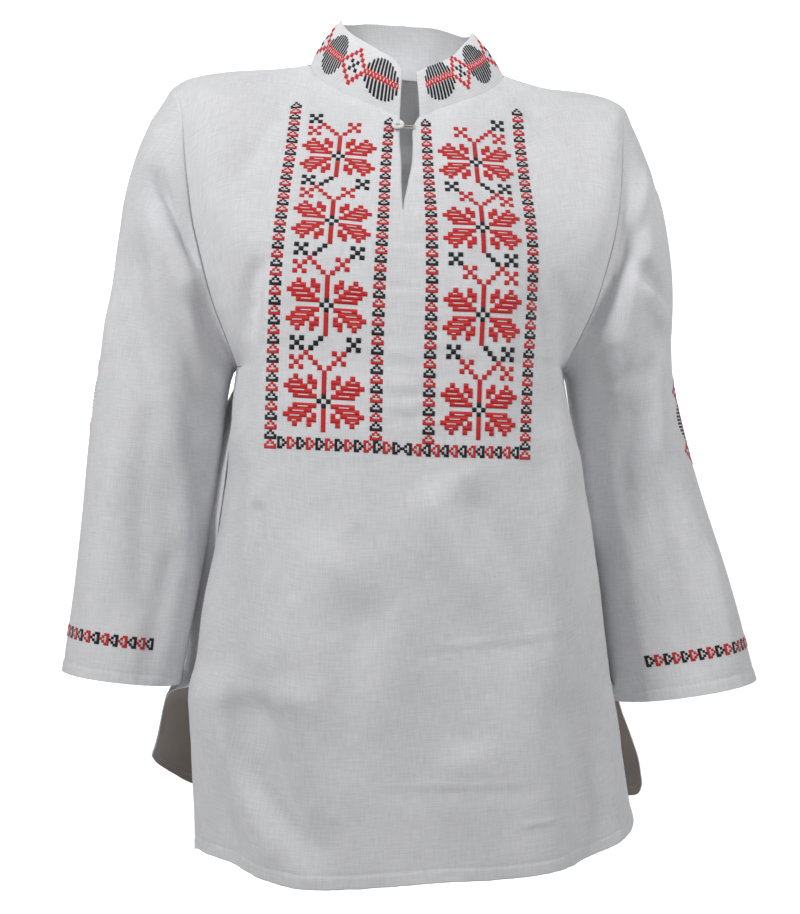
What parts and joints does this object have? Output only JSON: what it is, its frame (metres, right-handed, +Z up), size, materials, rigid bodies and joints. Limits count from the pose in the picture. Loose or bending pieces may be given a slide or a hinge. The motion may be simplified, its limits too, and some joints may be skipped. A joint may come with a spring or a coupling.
{
  "type": "embroidered blouse",
  "caption": "Worn-form white cotton pullover blouse with stand collar, buttoned front slit, wide three-quarter sleeves, side vents and cross-stitch panels.",
  "frame": {"origin": "middle of the neck at the height of the shoulder points, where the wearer's neck and shoulders hold it", "axes": "+Z up along the wearer, front faces -Y, the wearer's right sleeve lies at -X"},
  "size_m": [0.6482, 0.2649, 0.7878],
  "materials": {
    "cotton": "plain-woven bleached cotton",
    "button": "pearly",
    "cord": "twisted thread"
  },
  "bodies": {
    "root": {"front": "cotton", "back": "cotton", "sleeve_right": "cotton", "sleeve_left": "cotton", "collar": "cotton", "button": "button", "button_shank": "cord", "button_loop": "cord"}
  },
  "joints": []
}
